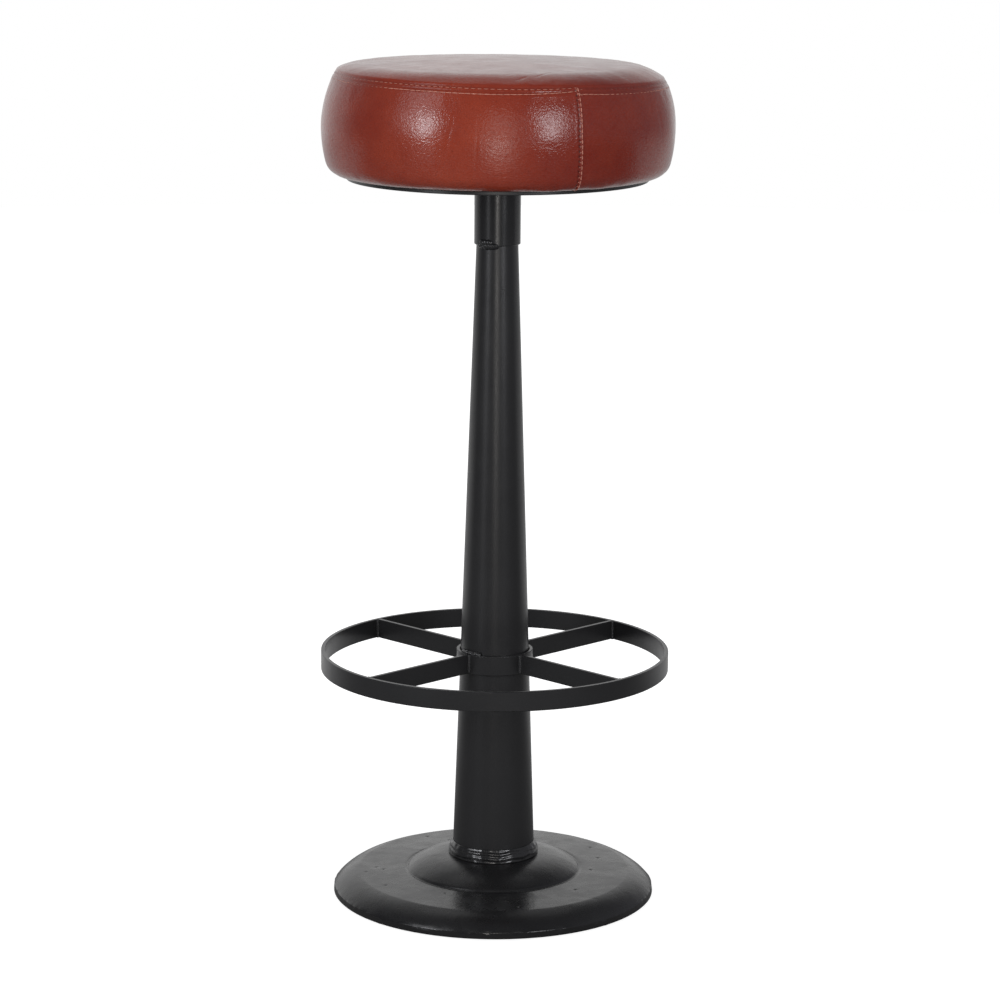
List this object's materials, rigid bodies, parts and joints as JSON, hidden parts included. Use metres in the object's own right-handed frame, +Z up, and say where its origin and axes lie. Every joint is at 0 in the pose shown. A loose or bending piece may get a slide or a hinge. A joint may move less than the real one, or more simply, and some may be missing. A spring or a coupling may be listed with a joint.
{
  "type": "bar stool",
  "caption": "Round leather bar stool that swivels on a tapered black pedestal, with a ring foot rest on spokes and a domed cast foot.",
  "frame": {"origin": "on the floor, under the axis of the column", "axes": "+Z up along the column and the swivel, -Y to the front, +X to the right seen from the front"},
  "size_m": [0.34, 0.34, 0.82],
  "materials": {
    "black_paint": "satin black paint on steel",
    "cast_black": "semi-gloss black paint on cast iron",
    "pad_rubber": "matt black rubber",
    "bush_bronze": "oiled bearing bronze",
    "bright_steel": "turned steel",
    "zinc_steel": "zinc-plated steel",
    "plywood": "bare birch plywood",
    "foam": "upholstery foam",
    "seat_leather": "glossy pebbled chestnut leather"
  },
  "bodies": {
    "stand": {"column": "black_paint", "column_foot_weld": "black_paint", "foot_ring": "black_paint", "foot_collar": "black_paint", "swivel_housing": "black_paint", "spoke_welds": "black_paint", "collar_tack_weld": "black_paint", "housing_tack_weld": "black_paint", "foot_spoke_front_left": "black_paint", "foot_spoke_front_right": "black_paint", "foot_spoke_back_left": "black_paint", "foot_spoke_back_right": "black_paint", "base_casting": "cast_black", "floor_pads": "pad_rubber", "upper_bush": "bush_bronze", "lower_bush": "bush_bronze"},
    "seat": {"seat_plate": "black_paint", "spindle": "bright_steel", "spindle_washer": "zinc_steel", "spindle_nut": "zinc_steel", "seat_screws": "zinc_steel", "screw_washers": "zinc_steel", "tee_nuts": "zinc_steel", "seat_board": "plywood", "seat_foam": "foam", "leather_top_panel": "seat_leather", "leather_side_band": "seat_leather", "hem_staples": "zinc_steel"}
  },
  "joints": [
    {"name": "seat_swivel", "type": "hinge", "parent": "stand", "child": "seat", "pos_m": [0, 0, 0.707], "axis": [0, 0, 1], "continuous": true}
  ]
}
